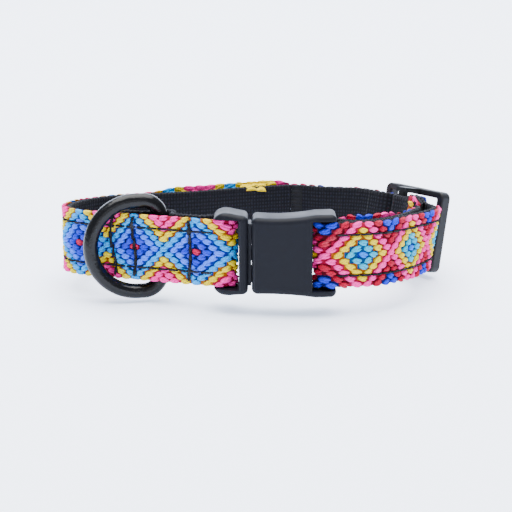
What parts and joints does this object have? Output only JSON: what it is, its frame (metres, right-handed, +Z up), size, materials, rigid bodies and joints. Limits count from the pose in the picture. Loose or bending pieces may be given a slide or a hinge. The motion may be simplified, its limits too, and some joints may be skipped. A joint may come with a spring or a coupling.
{
  "type": "breakaway cat collar",
  "caption": "Narrow cat collar in black webbing with a sewn band of coloured knots, breakaway buckle, D-ring and strap adjuster, lying closed in an oval.",
  "frame": {"origin": "middle of the footprint, on the surface that the collar rests on", "axes": "+Z up, roughly across the strap; the buckle faces -Y; the collar opens with its male half to -X"},
  "size_m": [0.0918, 0.0526, 0.0251],
  "materials": {
    "webbing": "woven nylon",
    "blue_yellow_band": "knotted thread",
    "pink_yellow_band": "knotted thread",
    "thread": "sewing thread",
    "buckle_plastic": "satin moulded",
    "adjuster_plastic": "matte moulded",
    "ring_enamel": "black enamel"
  },
  "bodies": {
    "root": {"buckle_housing": "buckle_plastic", "adjusting_loop_webbing": "webbing", "adjusting_loop_knotted_band": "pink_yellow_band", "adjusting_loop_stitching": "thread", "rear_right_webbing": "webbing", "rear_right_knotted_band": "pink_yellow_band", "rear_right_stitching": "thread"},
    "left_side": {"left_strap_webbing": "webbing", "left_strap_knotted_band": "blue_yellow_band", "left_strap_stitching": "thread", "buckle_cross_stitching": "thread", "ring_cross_stitching": "thread", "fold_end_cross_stitching": "thread", "male_clip": "buckle_plastic"},
    "ring": {"d_ring": "ring_enamel"},
    "adjuster": {"adjuster_frame": "adjuster_plastic", "adjuster_webbing": "webbing", "adjuster_knotted_band": "pink_yellow_band", "sewn_end_webbing": "webbing", "sewn_end_knotted_band": "pink_yellow_band", "sewn_end_stitching": "thread"}
  },
  "joints": [
    {"name": "collar_open", "type": "hinge", "parent": "root", "child": "left_side", "pos_m": [0.00826, 0.02552, 0.0092], "axis": [0, -0.0958, -0.9954], "range_deg": [0, 60]},
    {"name": "ring_swing", "type": "hinge", "parent": "left_side", "child": "ring", "pos_m": [-0.02185, -0.01268, 0.01287], "axis": [0, 0.0958, 0.9954], "range_deg": [0, 115]},
    {"name": "adjuster_slide", "type": "slide", "parent": "root", "child": "adjuster", "axis": [-0.6157, 0.7844, -0.0755], "range_m": [-0.003, 0.003], "deforming": ["adjuster_webbing", "adjuster_knotted_band", "sewn_end_webbing", "sewn_end_knotted_band", "sewn_end_stitching"]}
  ]
}
